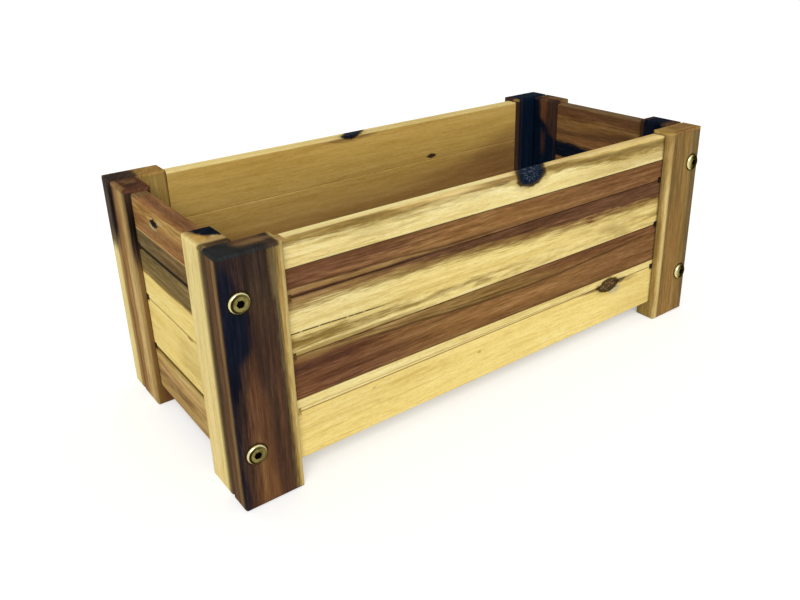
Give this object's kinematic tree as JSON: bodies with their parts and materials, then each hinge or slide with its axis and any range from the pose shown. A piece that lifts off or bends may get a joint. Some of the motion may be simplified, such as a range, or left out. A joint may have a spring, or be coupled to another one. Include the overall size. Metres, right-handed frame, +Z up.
{
  "type": "wooden planter",
  "caption": "Rectangular knock-down wooden planter box with framed board sides on short stile feet, bolted at the corners, and a slatted draining floor.",
  "frame": {"origin": "the middle of the footprint, on the surface that the planter stands on", "axes": "+X along the long sides to the right, +Y from the front side to the back, +Z up"},
  "size_m": [0.49, 0.2272, 0.19],
  "materials": {
    "dark_heartwood": "satin oiled wood with visible grain",
    "olive_wood": "satin oiled wood with visible grain",
    "golden_brown_wood": "satin oiled wood with visible grain",
    "pale_sapwood": "satin oiled wood with visible grain",
    "red_brown_wood": "satin oiled wood with visible grain",
    "yellow_plated_steel": "yellow plated, satin to bright",
    "zinc_plated_steel": "zinc plated"
  },
  "bodies": {
    "root": {"front_left_stile": "dark_heartwood", "front_right_stile": "olive_wood", "back_left_stile": "golden_brown_wood", "back_right_stile": "dark_heartwood", "left_front_stile": "pale_sapwood", "left_back_stile": "golden_brown_wood", "right_front_stile": "dark_heartwood", "right_back_stile": "red_brown_wood", "front_board_1": "olive_wood", "back_board_1": "golden_brown_wood", "left_board_1": "red_brown_wood", "right_board_1": "red_brown_wood", "front_board_2": "red_brown_wood", "back_board_2": "golden_brown_wood", "left_board_2": "golden_brown_wood", "right_board_2": "red_brown_wood", "front_board_3": "olive_wood", "back_board_3": "golden_brown_wood", "left_board_3": "pale_sapwood", "right_board_3": "red_brown_wood", "front_board_4": "pale_sapwood", "back_board_4": "golden_brown_wood", "left_board_4": "golden_brown_wood", "right_board_4": "red_brown_wood", "front_cleat": "golden_brown_wood", "back_cleat": "golden_brown_wood", "floor_slat_1": "golden_brown_wood", "floor_slat_2": "golden_brown_wood", "floor_slat_3": "golden_brown_wood", "floor_slat_4": "golden_brown_wood", "floor_slat_5": "golden_brown_wood", "floor_slat_6": "golden_brown_wood", "corner_bolts": "yellow_plated_steel", "bolt_inserts": "yellow_plated_steel", "cleat_screws": "zinc_plated_steel", "slat_screws": "zinc_plated_steel"}
  },
  "joints": []
}
